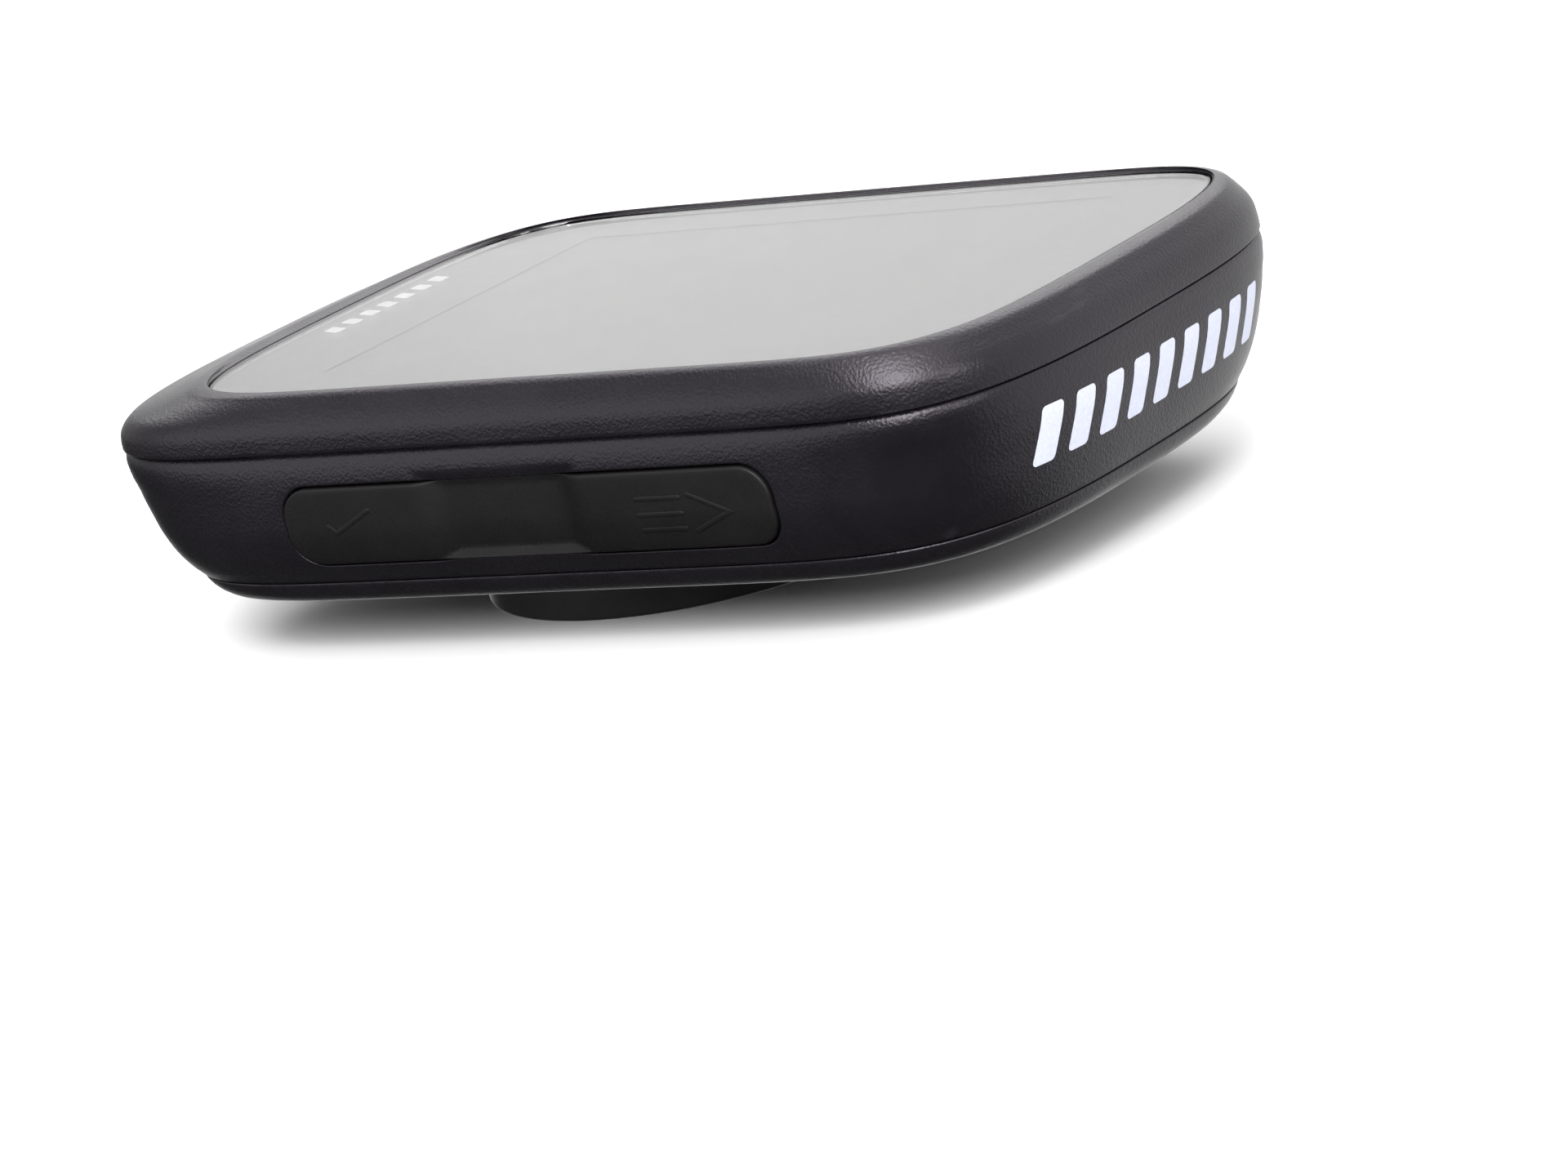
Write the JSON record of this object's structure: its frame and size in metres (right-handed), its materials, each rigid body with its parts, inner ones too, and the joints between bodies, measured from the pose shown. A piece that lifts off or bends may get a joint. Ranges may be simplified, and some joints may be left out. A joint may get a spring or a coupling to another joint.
{
  "type": "cycling computer",
  "caption": "Compact handlebar cycling computer with a flat display in a rounded case, rubber keys on three edges and a quarter-turn bayonet on the back.",
  "frame": {"origin": "centre of the quarter-turn bayonet's flat end face, the lowest point of the back", "axes": "+X to the rider's right, +Y forward along the bicycle (the top of the display), +Z out of the display"},
  "size_m": [0.041, 0.0629, 0.016],
  "materials": {
    "case_black": "fine leather grain, semi-matt",
    "mount_black": "plain, semi-matt",
    "lens_glass": "clear, polished",
    "adhesive_black": "matt",
    "display_grey": "satin polariser",
    "white_plastic": "satin",
    "flex_amber": "polyimide film",
    "gasket_red": "matt silicone",
    "board_green": "solder mask",
    "chip_black": "moulded epoxy",
    "steel": "tin-plated",
    "antenna_tan": "ceramic chip",
    "cream_plastic": "satin",
    "cell_silver": "satin foil pouch",
    "tape_cream": "paper-backed foam",
    "lead_red": "silicone sleeve",
    "lead_black": "silicone sleeve",
    "flap_rubber": "matt",
    "screw_dark": "black zinc",
    "key_rubber": "semi-matt elastomer"
  },
  "bodies": {
    "case": {"front_bezel": "case_black", "mid_frame": "case_black", "back_cover": "case_black", "quarter_turn_mount": "mount_black", "lens": "lens_glass", "lens_adhesive": "adhesive_black", "display_panel": "display_grey", "backlight_guide": "white_plastic", "display_tray": "white_plastic", "display_flex": "flex_amber", "front_gasket": "gasket_red", "rear_gasket": "gasket_red", "main_board": "board_green", "board_chips": "chip_black", "shield_can": "steel", "gnss_antenna": "antenna_tan", "flex_connector": "cream_plastic", "side_switches": "chip_black", "buzzer": "chip_black", "pressure_sensor": "steel", "vent_membrane": "white_plastic", "battery_cell": "cell_silver", "battery_tape": "tape_cream", "battery_lead_red": "lead_red", "battery_lead_black": "lead_black", "battery_connector": "cream_plastic", "usb_socket": "steel", "usb_tongue": "chip_black", "usb_flap_anchor": "flap_rubber", "case_screws": "screw_dark", "board_screws": "steel", "right_key_web": "key_rubber", "left_key_web": "key_rubber", "end_key_web": "key_rubber"},
    "menu_up_button": {"menu_up_key": "key_rubber", "menu_up_plunger": "cream_plastic"},
    "enter_button": {"enter_key": "key_rubber", "enter_plunger": "cream_plastic"},
    "power_button": {"power_key": "key_rubber", "power_plunger": "cream_plastic"},
    "down_button": {"down_key": "key_rubber", "down_plunger": "cream_plastic"},
    "start_button": {"start_key": "key_rubber", "start_plunger": "cream_plastic"},
    "lap_button": {"lap_key": "key_rubber", "lap_plunger": "cream_plastic"},
    "usb_flap": {"usb_flap": "flap_rubber"}
  },
  "joints": [
    {"name": "menu_up_press", "type": "slide", "parent": "case", "child": "menu_up_button", "axis": [-1, 0, 0], "range_m": [0, 0.00035], "stiffness_N_per_m": 3000, "springref_m": -0.0002},
    {"name": "enter_press", "type": "slide", "parent": "case", "child": "enter_button", "axis": [-1, 0, 0], "range_m": [0, 0.00035], "stiffness_N_per_m": 3000, "springref_m": -0.0002},
    {"name": "power_press", "type": "slide", "parent": "case", "child": "power_button", "axis": [1, 0, 0], "range_m": [0, 0.00035], "stiffness_N_per_m": 3000, "springref_m": -0.0002},
    {"name": "down_press", "type": "slide", "parent": "case", "child": "down_button", "axis": [1, 0, 0], "range_m": [0, 0.00035], "stiffness_N_per_m": 3000, "springref_m": -0.0002},
    {"name": "start_press", "type": "slide", "parent": "case", "child": "start_button", "axis": [0, 1, 0], "range_m": [0, 0.00035], "stiffness_N_per_m": 3000, "springref_m": -0.0002},
    {"name": "lap_press", "type": "slide", "parent": "case", "child": "lap_button", "axis": [0, 1, 0], "range_m": [0, 0.00035], "stiffness_N_per_m": 3000, "springref_m": -0.0002},
    {"name": "usb_flap_hinge", "type": "hinge", "parent": "case", "child": "usb_flap", "pos_m": [0, -0.02245, 0.00365], "axis": [-1, 0, 0], "range_deg": [0, 110], "stiffness_Nm_per_rad": 0.001, "springref_deg": -5.73}
  ]
}
